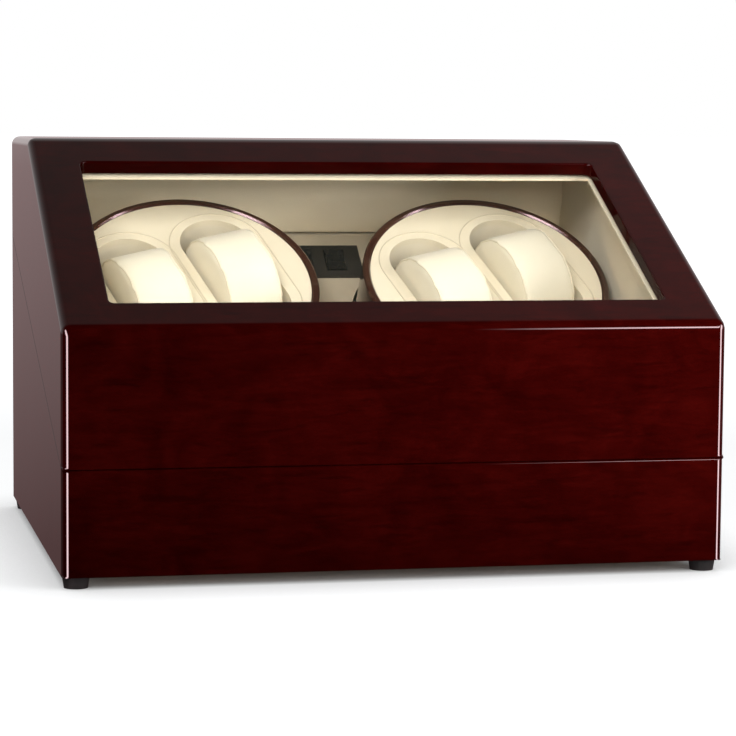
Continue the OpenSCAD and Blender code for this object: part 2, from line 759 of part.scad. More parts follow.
// Boards wrapped in leatherette on the lid's front, sides and top
module lid_lining() {
  low = lip + 1;
  under = liner_top + liner_t + 0.2;
  back = case_d - wall - 0.2;
  top = case_h - top_t;
  y_top = slope_run + 8;
  color("#e9e0c4") in_case() {
    slab(-lined_x + 0.2, lined_x - 0.2) polygon([
      [wall + 0.2, split_z(wall) + low], [wall + lining_t, split_z(wall) + low + 1],
      [wall + lining_t, slope_z(wall + lining_t, under)], [wall + 0.2, slope_z(wall + 0.2, under)]
    ]);
    both_sides() slab(lined_x, inner_x - 0.05) polygon([
      [wall + 0.2, split_z(wall) + low + 0.1], [back, split_z(back) + low + 0.1], [back, top - 0.05],
      [y_top, top - 0.05], [y_top, slope_z(slope_run - 4, under)],
      [slope_run - 4, slope_z(slope_run - 4, under)],
      [wall + 0.2, slope_z(wall + 0.2, under)]
    ]);
    slab(-lined_x + 0.2, lined_x - 0.2) polygon([
      [y_top, top - 0.05], [back, top - 0.05], [back, top - lining_t], [y_top, top - lining_t]
    ]);
  }
}

// Padded roll along the inside of the lid's back, drawn in below to a foot just over the ledge
roll_y = 271;
roll_z = 181;
roll_r = 17;
roll_foot = [262, 158.4];
roll_to_foot = roll_foot - [roll_y, roll_z];
roll_tangent = atan2(roll_to_foot[1], roll_to_foot[0]) - acos(roll_r / norm(roll_to_foot));
module lid_back_pad() {
  color("#e9e0c4") in_case() slab(-lined_x + 0.2, lined_x - 0.2) intersection() {
    union() {
      translate([roll_y, roll_z]) circle(r = roll_r);
      polygon([
        [roll_y + roll_r * cos(roll_tangent), roll_z + roll_r * sin(roll_tangent)], roll_foot,
        [roll_y + roll_r, roll_foot[1]], [roll_y + roll_r, roll_z]
      ]);
    }
    translate([roll_y - roll_r, roll_foot[1]])
      square([case_d - wall - 0.2 - roll_y + roll_r, roll_z + roll_r - roll_foot[1]]);
  }
}

// ---------- nodes ----------

base_front_panel();
base_side(-case_w / 2);  // base_side_left
base_side(inner_x);  // base_side_right
base_back_panel();
base_bottom_board();
rubber_feet();
foot_screws();
base_lining();
deck_boards();
switch_plate();
switch_bodies();
storage_tray();
motor_board();
support_cleats();
bearing_bushes();
gear_motors();
motor_screws();
control_board();
board_standoffs();
wiring();
dc_jack();
hinge_base_leaves();
hinge_base_screws();
hinge_pins();
lid_front_panel();
lid_side(-case_w / 2);  // lid_side_left
lid_side(inner_x);  // lid_side_right
lid_top_panel();
lid_back_panel();
lid_frame_rails();
window_pane();
lid_frame_lining();
lid_lining();
lid_back_pad();
hinge_lid_leaves();
hinge_lid_screws();
drum_cup(-drum_x);  // drum_cup_left
drum_pad(-drum_x, left_stop);  // drum_pad_left
drum_wells(-drum_x, left_stop);  // drum_wells_left
drum_spindle(-drum_x);  // drum_spindle_left
drum_gear(-drum_x);  // drum_gear_left
drum_cup(drum_x);  // drum_cup_right
drum_pad(drum_x, right_stop);  // drum_pad_right
drum_wells(drum_x, right_stop);  // drum_wells_right
drum_spindle(drum_x);  // drum_spindle_right
drum_gear(drum_x);  // drum_gear_right
pinion(-motor_x);  // pinion_left
pinion(motor_x);  // pinion_right
rocker(-rocker_pitch / 2);  // rocker_left
rocker(rocker_pitch / 2);  // rocker_right
winder_cushion(-drum_x, left_stop, -1);  // winder_cushion_1
winder_cushion(-drum_x, left_stop, 1);  // winder_cushion_2
winder_cushion(drum_x, right_stop, -1);  // winder_cushion_3
winder_cushion(drum_x, right_stop, 1);  // winder_cushion_4
storage_cushion(1);  // storage_cushion_1
storage_cushion(2);  // storage_cushion_2
storage_cushion(3);  // storage_cushion_3
storage_cushion(4);  // storage_cushion_4
storage_cushion(5);  // storage_cushion_5
storage_cushion(6);  // storage_cushion_6
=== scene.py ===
"""The watch winder box's looks: lacquered case, upholstery, turntables, cushions, metalwork and studio."""

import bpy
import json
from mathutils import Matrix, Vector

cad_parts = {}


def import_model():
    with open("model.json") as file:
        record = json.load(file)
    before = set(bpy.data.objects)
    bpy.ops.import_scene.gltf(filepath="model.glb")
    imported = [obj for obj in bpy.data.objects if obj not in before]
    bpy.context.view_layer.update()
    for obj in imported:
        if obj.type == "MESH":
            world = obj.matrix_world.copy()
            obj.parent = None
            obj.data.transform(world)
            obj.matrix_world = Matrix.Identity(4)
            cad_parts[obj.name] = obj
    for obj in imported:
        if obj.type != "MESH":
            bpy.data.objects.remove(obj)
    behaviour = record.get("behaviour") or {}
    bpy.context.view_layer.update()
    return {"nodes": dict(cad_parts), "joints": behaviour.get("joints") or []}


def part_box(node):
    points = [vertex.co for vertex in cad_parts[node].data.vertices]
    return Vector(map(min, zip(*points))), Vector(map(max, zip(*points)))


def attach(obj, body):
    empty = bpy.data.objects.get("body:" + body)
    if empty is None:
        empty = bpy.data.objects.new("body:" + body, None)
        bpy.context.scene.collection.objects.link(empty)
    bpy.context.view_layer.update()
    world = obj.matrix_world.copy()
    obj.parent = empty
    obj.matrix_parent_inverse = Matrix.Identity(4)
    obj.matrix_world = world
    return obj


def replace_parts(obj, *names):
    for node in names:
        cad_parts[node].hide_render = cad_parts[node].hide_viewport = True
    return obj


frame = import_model()

import json
import math

import bmesh
import bpy
import numpy as np
from mathutils import Matrix, Vector
from mathutils.bvhtree import BVHTree

MM = 0.001
TOUCH = 0.01 * MM
NODES = frame["nodes"]
JOINTS = {j["name"]: j for j in frame["joints"]}
SCENE = bpy.context.scene


# ---------- sizes, worked out from the frame ----------

def points(node):
    """A CAD node's vertices."""
    return [v.co.copy() for v in NODES[node].data.vertices]


def outline(node):
    """The outline of a slab that lies across X, as (y, z) points in order round it."""
    low = min(p.x for p in points(node))
    found = sorted({(round(p.y, 6), round(p.z, 6)) for p in points(node) if p.x < low + TOUCH})
    middle = Vector((0, 0))
    for p in found:
        middle += Vector(p) / len(found)
    return sorted(found, key=lambda p: math.atan2(p[1] - middle.y, p[0] - middle.x))


LID_OUTLINE = outline("lid_side_left")
BASE_OUTLINE = outline("base_side_left")
CASE_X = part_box("lid_side_right")[1].x
INNER_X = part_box("lid_side_right")[0].x
WALL = CASE_X - INNER_X
FRONT_Y = min(y for y, z in BASE_OUTLINE)
BACK_Y = max(y for y, z in BASE_OUTLINE)
CASE_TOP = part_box("lid_top_panel")[1].z
TOP_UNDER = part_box("lid_top_panel")[0].z
SLOPE_FOOT = Vector((0, FRONT_Y, max(z for y, z in LID_OUTLINE if y < FRONT_Y + TOUCH)))
SLOPE_HEAD = Vector((0, min(y for y, z in LID_OUTLINE if z > CASE_TOP - TOUCH), CASE_TOP))
SLOPE_UP = (SLOPE_HEAD - SLOPE_FOOT).normalized()
SLOPE_OUT = Vector((0, -SLOPE_UP.z, SLOPE_UP.y))
PANE_DEPTH = -max((p - SLOPE_FOOT).dot(SLOPE_OUT) for p in points("window_pane"))
GLASS_LAP = 6 * MM  # how far the glass runs under the window frame on every side
PIN = Vector(JOINTS["lid_hinge"]["pos_m"])


def split_height(outline_points, y, top):
    """The height of the parting edge at a depth: the base's top edge, or the lid's bottom one."""
    pick = max if top else min
    front = pick(z for py, z in outline_points if abs(py - FRONT_Y) < TOUCH)
    back = pick(z for py, z in outline_points if abs(py - BACK_Y) < TOUCH)
    return front + (back - front) * (y - FRONT_Y) / (BACK_Y - FRONT_Y)


SPLIT_ALONG = Vector((
    0, BACK_Y - FRONT_Y,
    split_height(BASE_OUTLINE, BACK_Y, True) - split_height(BASE_OUTLINE, FRONT_Y, True),
)).normalized()


# ---------- materials ----------

class Nodes:
    """A node tree with the helpers that the materials and the world share."""

    def __init__(self, tree):
        self.tree = tree

    def node(self, kind, inputs=None, **settings):
        made = self.tree.nodes.new(kind)
        for key, value in settings.items():
            setattr(made, key, value)
        for key, value in (inputs or {}).items():
            if isinstance(value, bpy.types.NodeSocket):
                self.tree.links.new(value, made.inputs[key])
            else:
                made.inputs[key].default_value = value
        return made

    def math(self, operation, a, b=0.0):
        return self.node("ShaderNodeMath", {0: a, 1: b}, operation=operation).outputs[0]

    def span(self, value, low, high, to_low=0.0, to_high=1.0, curve="LINEAR"):
        """The value's range from low to high, remapped and clamped."""
        return self.node("ShaderNodeMapRange", {
            "Value": value, "From Min": low, "From Max": high, "To Min": to_low, "To Max": to_high,
        }, interpolation_type=curve).outputs[0]

    def colours(self, factor, *stops):
        """A colour ramp with a stop at each (position, colour)."""
        ramp = self.node("ShaderNodeValToRGB", {"Fac": factor})
        elements = ramp.color_ramp.elements
        while len(elements) < len(stops):
            elements.new(0.5)
        for element, (position, colour) in zip(elements, stops):
            element.position = position
            element.color = (*colour, 1)
        return ramp.outputs[0]


class Shader(Nodes):
    """A Principled material. Its textures are placed by the piece's own coordinates, in metres."""

    def __init__(self, name, **sockets):
        self.material = bpy.data.materials.new(name)
        self.material.use_nodes = True
        super().__init__(self.material.node_tree)
        self.bsdf = self.tree.nodes["Principled BSDF"]
        for socket, value in sockets.items():
            self.bsdf.inputs[socket.replace("_", " ")].default_value = value
        self.place = self.node("ShaderNodeTexCoord").outputs["Object"]

    def stretched(self, scale):
        return self.node("ShaderNodeMapping", {"Vector": self.place, "Scale": scale}).outputs[0]

    def noise(self, scale, detail=3, roughness=0.5, place=None, distortion=0):
        return self.node("ShaderNodeTexNoise", {
            "Vector": place or self.place, "Scale": scale, "Detail": detail,
            "Roughness": roughness, "Distortion": distortion,
        }).outputs["Fac"]

    def cells(self, scale, feature="DISTANCE_TO_EDGE"):
        made = self.node("ShaderNodeTexVoronoi", {"Vector": self.place, "Scale": scale}, feature=feature)
        return made.outputs["Distance"]

    def mix(self, factor, a, b):
        made = self.node("ShaderNodeMix", data_type="RGBA")
        for index, value in ((0, factor), (6, a), (7, b)):
            if isinstance(value, bpy.types.NodeSocket):
                self.tree.links.new(value, made.inputs[index])
            else:
                made.inputs[index].default_value = value if index == 0 else (*value, 1)
        return made.outputs[2]

    def bump(self, height, distance, strength=1.0, under=None):
        inputs = {"Height": height, "Distance": distance, "Strength": strength}
        if under is not None:
            inputs["Normal"] = under
        return self.node("ShaderNodeBump", inputs).outputs[0]

    def join(self, **links):
        """Links the given outputs to the shader's sockets, and returns the material."""
        for socket, value in links.items():
            self.tree.links.new(value, self.bsdf.inputs[socket.replace("_", " ")])
        return self.material


def cherry_wood(name, gloss):
    """Dark cherry veneer under lacquer. The grain follows each board; painted light brightens it to the right
    and painted shade darkens it low down.
    """
    s = Shader(
        name, Roughness=0.6, Coat_Weight=gloss, Coat_Roughness=0.02, Coat_IOR=1.5,
        Specular_IOR_Level=0.0,
    )
    normal = s.node("ShaderNodeNewGeometry").outputs["True Normal"]
    side = s.math("ABSOLUTE", s.node("ShaderNodeSeparateXYZ", {0: normal}).outputs[0])
    on_side = s.math("GREATER_THAN", side, 0.7)
    clouds = s.noise(30, 4, 0.62, None, 0.8)
    along_x = s.stretched((26, 150, 150))
    along_y = s.stretched((150, 26, 150))
    place = s.mix(on_side, along_x, along_y)
    figure = s.noise(1, 4, 0.6, place, 1.4)
    streaks = s.noise(3.1, 3, 0.65, place, 0.8)
    flecks = s.noise(1.6, 2, 0.5, place, 0.4)
    tone = s.math("ADD", s.math("MULTIPLY", figure, 0.42), s.math("MULTIPLY", clouds, 0.58))
    deep, middle, bright = (0.0098, 0.0002, 0.0002), (0.0148, 0.0004, 0.0003), (0.0208, 0.0007, 0.0005)
    streak, fleck = (0.0080, 0.0002, 0.0002), (0.0065, 0.0002, 0.0002)
    veneer = s.colours(tone, (0.36, deep), (0.50, middle), (0.64, bright))
    veneer = s.mix(s.span(streaks, 0.40, 0.75, 0.0, 0.25), veneer, streak)
    veneer = s.mix(s.span(flecks, 0.60, 0.70, 0.0, 0.45), veneer, fleck)
    spread = s.node("ShaderNodeSeparateXYZ", {0: s.place})
    # Painted light and shade: the veneer gets brighter to the right and darker towards the bottom, as the
    # studio light falls on the case.
    across = s.span(spread.outputs[0], -CASE_X, CASE_X, 0.70, 1.35)
    painted_shade_low = s.span(spread.outputs[2], 0.0, 0.08, 0.68, 1.0)
    veneer = s.node("ShaderNodeVectorMath", {
        0: veneer, "Scale": s.math("MULTIPLY", across, painted_shade_low),
    }, operation="SCALE").outputs[0]
    ripple = s.bump(s.noise(16, 1), 0.00012, 0.5)
    return s.join(Base_Color=veneer, Coat_Normal=ripple, Roughness=s.span(streaks, 0.3, 0.7, 0.5, 0.65))


def plain_board(name, light, dark):
    """Unlacquered board with a dry, slightly fuzzy face."""
    s = Shader(name, Roughness=0.75)
    grain = s.noise(1, 5, 0.65, s.stretched((14, 320, 320)), 0.4)
    fibre = s.noise(900, 3)
    colour = s.colours(grain, (0.3, dark), (0.7, light))
    return s.join(
        Base_Color=s.mix(s.span(fibre, 0.4, 0.7, 0, 0.35), colour, dark), Normal=s.bump(fibre, 0.0002, 0.4)
    )


def leatherette(name, colour, shade, grain=1500, depth=0.00009, rough=(0.40, 0.56), sheen=0.12):
    """Smooth grained leatherette: fine cells, soft mottling and creases, and a dull sheen."""
    s = Shader(name, Sheen_Weight=sheen, Sheen_Roughness=0.5, Specular_IOR_Level=0.4)
    cells = s.cells(grain)
    fine = s.noise(grain * 1.9, 2)
    mottle = s.noise(34, 4, 0.55)
    creases = s.noise(120, 4, 0.6)
    height = s.math("ADD", s.span(cells, 0.0, 0.25), s.math("MULTIPLY", fine, 0.35))
    tone = s.mix(s.span(mottle, 0.35, 0.7, 0.0, 0.45), colour, shade)
    tone = s.mix(s.span(cells, 0.0, 0.12, 0.20, 0.0), tone, shade)
    normal = s.bump(height, depth, 0.7, s.bump(creases, 0.0006, 0.25))
    return s.join(Base_Color=tone, Roughness=s.span(mottle, 0.3, 0.7, *rough), Normal=normal)


def polished(name, colour, dark, rough=0.08, coat=1.0):
    """A polished moulding with faint swirl marks and a little depth to its colour."""
    s = Shader(name, Coat_Weight=coat, Coat_Roughness=0.04, Specular_IOR_Level=0.4)
    swirl = s.noise(260, 4, 0.6)
    cloud = s.noise(22, 3)
    return s.join(
        Base_Color=s.colours(cloud, (0.3, dark), (0.7, colour)),
        Roughness=s.span(swirl, 0.3, 0.7, rough, rough + 0.14), Coat_Normal=s.bump(swirl, 0.00002, 0.3),
    )


def moulded(name, colour, rough=(0.42, 0.58), grain=1800, depth=0.00006, wear=0.35, specular=0.45):
    """Moulded plastic or rubber with a fine spark-eroded texture and slight unevenness."""
    s = Shader(name, Specular_IOR_Level=specular)
    texture = s.noise(grain, 3, 0.7)
    cloud = s.noise(60, 3)
    worn = tuple(min(1.0, c * 1.5 + 0.012) for c in colour)
    tone = s.mix(s.span(cloud, 0.4, 0.75, 0.0, wear), colour, worn)
    return s.join(
        Base_Color=tone, Roughness=s.span(cloud, 0.3, 0.7, *rough), Normal=s.bump(texture, depth, 0.8)
    )


def metal(name, colour, tarnish, rough=(0.16, 0.34), lay=(900, 60, 900)):
    """Brushed or plated metal: directional scratches and patches of dulled plating."""
    s = Shader(name, Metallic=1.0)
    brush = s.noise(1, 3, 0.7, s.stretched(lay))
    patch = s.noise(140, 4, 0.6)
    tone = s.mix(s.span(patch, 0.45, 0.75, 0.0, 0.6), colour, tarnish)
    return s.join(
        Base_Color=tone, Roughness=s.span(brush, 0.3, 0.7, *rough), Normal=s.bump(brush, 0.00002, 0.5)
    )


def circuit_board():
    """Green solder mask with traces and pads."""
    s = Shader("circuit_board", Roughness=0.35, Coat_Weight=0.4)
    traces = s.cells(260)
    pads = s.cells(420, "F1")
    green = s.mix(s.span(traces, 0.03, 0.05, 1.0, 0.0), (0.010, 0.085, 0.035), (0.025, 0.16, 0.07))
    tone = s.mix(s.span(pads, 0.10, 0.12, 0.8, 0.0), green, (0.55, 0.50, 0.36))
    return s.join(Base_Color=tone, Normal=s.bump(traces, 0.00005, 0.5))


def window_glass():
    """Clear float glass: nearly invisible from the front, a little green and denser at a low angle."""
    s = Shader("window_glass", Roughness=0.02, Specular_IOR_Level=0.5, IOR=1.5)
    haze = s.noise(40, 3)
    facing = s.node("ShaderNodeLayerWeight", {"Blend": 0.5}).outputs["Facing"]
    tint = s.colours(facing, (0.0, (0.020, 0.024, 0.022)), (1.0, (0.010, 0.030, 0.022)))
    s.material.blend_method = "BLEND"
    clear = s.span(facing, 0.2, 1.0, 0.015, 0.10)
    return s.join(Base_Color=tint, Alpha=clear, Roughness=s.span(haze, 0.3, 0.7, 0.01, 0.04))


WOOD = cherry_wood("lacquered_wood", 1.0)
REVEAL = cherry_wood("satin_wood", 0.18)
BOARD = plain_board("plain_board", (0.50, 0.34, 0.19), (0.34, 0.21, 0.11))
PLY = plain_board("motor_ply", (0.60, 0.45, 0.27), (0.44, 0.30, 0.17))
LINING = leatherette("leather_lining", (0.80, 0.715, 0.525), (0.73, 0.632, 0.445))
# Lit and shaded copies of the lining leather: the cushions' colour is painted lighter and the drum pads'
# painted darker, for how the light falls on them.
LIT_CUSHION = leatherette("leather_cushion", (0.86, 0.80, 0.62), (0.79, 0.72, 0.54), grain=1250, sheen=0.18)
SHADED_PAD = leatherette("pad_leatherette", (0.78, 0.705, 0.525), (0.71, 0.630, 0.450), grain=1350)
# A darker copy of the lining leather: painted shade for the deck, which lies in shadow between the drums.
SHADED_DECK = leatherette("deck_leatherette", (0.48, 0.410, 0.290), (0.41, 0.345, 0.235), grain=1350)
WELL = leatherette(
    "well_suedette", (0.80, 0.73, 0.56), (0.70, 0.62, 0.45), grain=2600, rough=(0.7, 0.85), sheen=0.4,
)
SEAM = leatherette("seam_piping", (0.78, 0.71, 0.53), (0.66, 0.58, 0.41), grain=2200, depth=0.00005)
LINE = leatherette("pressed_line", (0.60, 0.53, 0.38), (0.52, 0.45, 0.31), grain=2200, rough=(0.6, 0.8))
DRUM = polished("drum_shell", (0.050, 0.017, 0.010), (0.026, 0.008, 0.005), 0.12, 0.45)
BLACK_PLATE = moulded("black_plate", (0.0250, 0.0225, 0.0185), (0.34, 0.48), 2400, 0.00003)
ROCKER = polished("rocker_plastic", (0.012, 0.012, 0.012), (0.008, 0.008, 0.008), 0.2, 0.3)
BLACK = moulded("black_plastic", (0.012, 0.012, 0.012))
WHITE = moulded("white_plastic", (0.74, 0.74, 0.70))
ACETAL = moulded("gear_plastic", (0.72, 0.69, 0.58), (0.30, 0.42), 1200, 0.00003, 0.2)
RUBBER = moulded("rubber", (0.006, 0.006, 0.006), (0.65, 0.85), 1400, 0.00012, specular=0.12)
STEEL = metal("steel", (0.62, 0.61, 0.58), (0.40, 0.38, 0.35))
MOTOR = metal("motor_steel", (0.52, 0.52, 0.52), (0.34, 0.33, 0.31), (0.28, 0.45), (120, 120, 1600))
BRASS = metal("hinge_brass", (0.80, 0.57, 0.25), (0.55, 0.36, 0.14), (0.10, 0.26))
PINION = metal("pinion_brass", (0.78, 0.58, 0.28), (0.60, 0.42, 0.18), (0.18, 0.32))
BRONZE = metal("bronze", (0.50, 0.31, 0.15), (0.34, 0.19, 0.09), (0.35, 0.55))
WIRE = moulded("wire_insulation", (0.28, 0.02, 0.02), (0.35, 0.5), 900, 0.00002)
BOARD_GREEN = circuit_board()
GLASS = window_glass()


# ---------- mesh helpers ----------

def to_object(name, mesh_source, material=None):
    """A new object from a bmesh or a mesh, at the origin, with one material."""
    if isinstance(mesh_source, bmesh.types.BMesh):
        mesh = bpy.data.meshes.new(name)
        mesh_source.to_mesh(mesh)
        mesh_source.free()
    else:
        mesh = mesh_source
        mesh.name = name
    made = bpy.data.objects.new(name, mesh)
    SCENE.collection.objects.link(made)
    if material is not None:
        mesh.materials.clear()
        mesh.materials.append(material)
    return made


def prism(name, outline_points, x0, x1):
    """A slab from x0 to x1 with an outline of (y, z) points."""
    mesh = bmesh.new()
    rings = [[mesh.verts.new((x, y, z)) for y, z in outline_points] for x in (x0, x1)]
    mesh.faces.new(rings[0][::-1])
    mesh.faces.new(rings[1])
    count = len(outline_points)
    for i in range(count):
        j = (i + 1) % count
        mesh.faces.new((rings[0][i], rings[0][j], rings[1][j], rings[1][i]))
    bmesh.ops.recalc_face_normals(mesh, faces=mesh.faces)
    return to_object(name, mesh)


def block(name, low, high, turn=Matrix.Identity(4)):
    """A box between two corners, then turned into place."""
    mesh = bmesh.new()
    bmesh.ops.create_cube(mesh, size=1)
    centre = (Vector(low) + Vector(high)) / 2
    size = Vector(high) - Vector(low)
    for v in mesh.verts:
        v.co = turn @ (centre + Vector((v.co.x * size.x, v.co.y * size.y, v.co.z * size.z)))
    return to_object(name, mesh)


def rod(name, a, b, radius, sides=48):
    """A round bar from a to b."""
    a, b = Vector(a), Vector(b)
    turn = (b - a).to_track_quat("Z", "Y").to_matrix().to_4x4()
    mesh = bmesh.new()
    bmesh.ops.create_cone(
        mesh, cap_ends=True, segments=sides, radius1=radius, radius2=radius, depth=(b - a).length,
        matrix=Matrix.Translation((a + b) / 2) @ turn,
    )
    return to_object(name, mesh)


def apply_modifiers(piece):
    """Bakes a piece's modifiers into its mesh."""
    bpy.context.view_layer.update()
    seen = piece.evaluated_get(bpy.context.evaluated_depsgraph_get())
    mesh = bpy.data.meshes.new_from_object(seen)
    old = piece.data
    piece.modifiers.clear()
    piece.data = mesh
    mesh.name = piece.name
    bpy.data.meshes.remove(old)
    return piece


def cut(piece, *cutters):
    """Takes the cutters' volume out of a piece and removes them."""
    for cutter in cutters:
        modifier = piece.modifiers.new("cut", "BOOLEAN")
        modifier.operation = "DIFFERENCE"
        modifier.solver = "EXACT"
        modifier.object = cutter
    apply_modifiers(piece)
    for cutter in cutters:
        bpy.data.objects.remove(cutter)
    return piece


def soften(piece, width, segments=3, angle=30):
    """A bevel along a piece's sharp edges, shaded smooth."""
    modifier = piece.modifiers.new("soft_edges", "BEVEL")
    modifier.width = width
    modifier.segments = segments
    modifier.limit_method = "ANGLE"
    modifier.angle_limit = math.radians(angle)
    modifier.harden_normals = True
    modifier.use_clamp_overlap = True
    return smooth(piece)


def smooth(piece):
    """Smooth shading on every face."""
    for face in piece.data.polygons:
        face.use_smooth = True
    return piece


def weigh_edges(piece, width_of):
    """Gives each edge a bevel width, in metres, by what width_of says of its two ends."""
    mesh = piece.data
    weights = mesh.attributes.new("bevel_weight_edge", "FLOAT", "EDGE")
    widest = 0.0
    widths = []
    for edge in mesh.edges:
        a, b = (mesh.vertices[i].co for i in edge.vertices)
        widths.append(width_of(a, b))
        widest = max(widest, widths[-1])
    for index, width in enumerate(widths):
        weights.data[index].value = width / widest
    modifier = piece.modifiers.new("rounded_edges", "BEVEL")
    modifier.width = widest
    modifier.segments = 6
    modifier.limit_method = "WEIGHT"
    apply_modifiers(piece)
    return flat_faces(smooth(piece))


def flat_faces(piece, angle=28):
    """Keeps flat faces flat beside rounded edges, and sharp edges sharp."""
    piece.data.set_sharp_from_angle(angle=math.radians(angle))
    modifier = piece.modifiers.new("flat_faces", "WEIGHTED_NORMAL")
    modifier.keep_sharp = True
    modifier.weight = 100
    return piece


def paint(node, material, bevel=0.0, segments=2):
    """Gives a CAD node its material and, with a bevel width, softened edges."""
    piece = NODES[node]
    piece.data.materials.clear()
    piece.data.materials.append(material)
    if bevel:
        soften(piece, bevel, segments)
    return piece


def tube(name, path, radius, material, closed=False, sides=3):
    """A round line along a path, as a mesh."""
    curve = bpy.data.curves.new(name, "CURVE")
    curve.dimensions = "3D"
    curve.bevel_depth = radius
    curve.bevel_resolution = sides
    spline = curve.splines.new("POLY")
    spline.points.add(len(path) - 1)
    for point, place in zip(spline.points, path):
        point.co = (*place, 1)
    spline.use_cyclic_u = closed
    holder = bpy.data.objects.new(name, curve)
    SCENE.collection.objects.link(holder)
    bpy.context.view_layer.update()
    mesh = bpy.data.meshes.new_from_object(holder.evaluated_get(bpy.context.evaluated_depsgraph_get()))
    bpy.data.objects.remove(holder)
    return smooth(to_object(name, mesh, material))


# ---------- case ----------

OUTER_ROUND = 4.6 * MM
PARTING_ROUND = 0.9 * MM
SIDE_PARTING_ROUND = 0.25 * MM
WINDOW_ROUND = 1.1 * MM
WINDOW_CORNER = 4.0 * MM
HINGE_GAP = 0.2 * MM  # past each end of a hinge pin
LEAF_SLOT = 1.52 * MM  # half the height of the slot for the two leaves
KNUCKLE_SLOT = 2.7 * MM
INLET_HOLE = 5.6 * MM
SLOPE_TURN = Matrix.Translation(SLOPE_FOOT) @ Matrix((
    (1, 0, 0, 0), (0, SLOPE_UP.y, SLOPE_OUT.y, 0), (0, SLOPE_UP.z, SLOPE_OUT.z, 0), (0, 0, 0, 1),
))


def window_span():
    """The window opening's lowest and highest corners in the slope's own frame."""
    inverse = SLOPE_TURN.inverted()
    local = [inverse @ p for p in points("window_pane")]
    low = Vector((min(p.x for p in local) + GLASS_LAP, min(p.y for p in local) + GLASS_LAP, 0))
    high = Vector((max(p.x for p in local) - GLASS_LAP, max(p.y for p in local) - GLASS_LAP, 0))
    return low, high


WINDOW_LOW, WINDOW_HIGH = window_span()


def round_window_corners(piece):
    """Rounds the four upright corners of the window opening."""
    mesh = bmesh.new()
    mesh.from_mesh(piece.data)
    inverse = SLOPE_TURN.inverted()
    corners = []
    for edge in mesh.edges:
        a, b = (inverse @ v.co for v in edge.verts)
        at_corner = all(
            min(abs(p.x - WINDOW_LOW.x), abs(p.x - WINDOW_HIGH.x)) < TOUCH
            and min(abs(p.y - WINDOW_LOW.y), abs(p.y - WINDOW_HIGH.y)) < TOUCH
            for p in (a, b)
        )
        if at_corner and abs(a.z - b.z) > MM:
            corners.append(edge)
    bmesh.ops.bevel(
        mesh, geom=corners, offset=WINDOW_CORNER, offset_type="OFFSET", segments=6, profile=0.5,
        affect="EDGES",
    )
    mesh.to_mesh(piece.data)
    mesh.free()


def hinge_cutters(name):
    """The slots and the round clearance for both hinges."""
    up = Vector((0, -SPLIT_ALONG.z, SPLIT_ALONG.y))
    turn = Matrix.Translation(PIN) @ Matrix((
        (1, 0, 0, 0), (0, SPLIT_ALONG.y, up.y, 0), (0, SPLIT_ALONG.z, up.z, 0), (0, 0, 0, 1),
    ))
    made = []
    for side in (-1, 1):
        xs = [p.x for p in points("hinge_pins") if p.x * side > 0]
        low, high = min(xs) - HINGE_GAP, max(xs) + HINGE_GAP
        slot_low, slot_high = (low, -WALL - 2 * MM, -LEAF_SLOT), (high, 0.5 * MM, LEAF_SLOT)
        made.append(block(f"{name}_slot_{side}", slot_low, slot_high, turn))
        ends = (turn @ Vector((low, 0, 0)), turn @ Vector((high, 0, 0)))
        made.append(rod(f"{name}_round_{side}", *ends, KNUCKLE_SLOT))
    return made


def near(value, target):
    return abs(value - target) < 2 * TOUCH


def outer_edge(a, b):
    """How many outer faces of the case both ends lie on."""
    faces = 0
    for inside in (
        lambda p: near(p.x, -CASE_X), lambda p: near(p.x, CASE_X),
        lambda p: near(p.y, FRONT_Y), lambda p: near(p.y, BACK_Y), lambda p: near(p.z, CASE_TOP),
        lambda p: near((p - SLOPE_FOOT).dot(SLOPE_OUT), 0),
    ):
        faces += inside(a) and inside(b)
    return faces


def parting_round(a, b):
    """The parting edge is rounder across the front than along the sides and the back."""
    across_front = near(a.y, FRONT_Y) and near(b.y, FRONT_Y)
    return PARTING_ROUND if across_front else SIDE_PARTING_ROUND


def lid_shell():
    """The lid's wooden shell: outline, cavity, window and hinge slots."""
    shell = prism("lid_shell", LID_OUTLINE, -CASE_X, CASE_X)
    under = PANE_DEPTH - 0.05 * MM
    drop = SLOPE_FOOT - SLOPE_OUT * under
    rise = SLOPE_UP.z / SLOPE_UP.y
    front, back = FRONT_Y + WALL, BACK_Y - WALL
    turn_y = drop.y + (TOP_UNDER - drop.z) / rise
    front_top = drop.z + (front - drop.y) * rise
    cavity = prism("cavity", [
        (front, 0), (back, 0), (back, TOP_UNDER), (turn_y, TOP_UNDER), (front, front_top),
    ], -INNER_X, INNER_X)
    through = Vector((0, 0, 20 * MM))
    window = block("window", WINDOW_LOW - through, WINDOW_HIGH + through, SLOPE_TURN)
    cut(shell, cavity, window)
    round_window_corners(shell)
    cut(shell, *hinge_cutters("lid"))
    shell.data.materials.clear()
    shell.data.materials.append(WOOD)

    def width_of(a, b):
        outer = outer_edge(a, b)
        if outer >= 2:
            return OUTER_ROUND
        on_split = all(near(p.z, split_height(LID_OUTLINE, p.y, False)) for p in (a, b))
        if outer == 1 and on_split:
            return parting_round(a, b)
        on_slope = all(near((p - SLOPE_FOOT).dot(SLOPE_OUT), 0) for p in (a, b))
        return WINDOW_ROUND if on_slope and in_window(a, b) else 0.0

    shell.data.materials.append(REVEAL)
    for face in shell.data.polygons:
        ends = [shell.data.vertices[i].co for i in face.vertices]
        if abs(face.normal.dot(SLOPE_OUT)) < 0.5 and all(in_window(p, p) for p in ends):
            face.material_index = 1
    weigh_edges(shell, width_of)
    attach(shell, "lid")
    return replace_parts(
        shell, "lid_front_panel", "lid_side_left", "lid_side_right", "lid_top_panel", "lid_back_panel",
        "lid_frame_rails",
    )


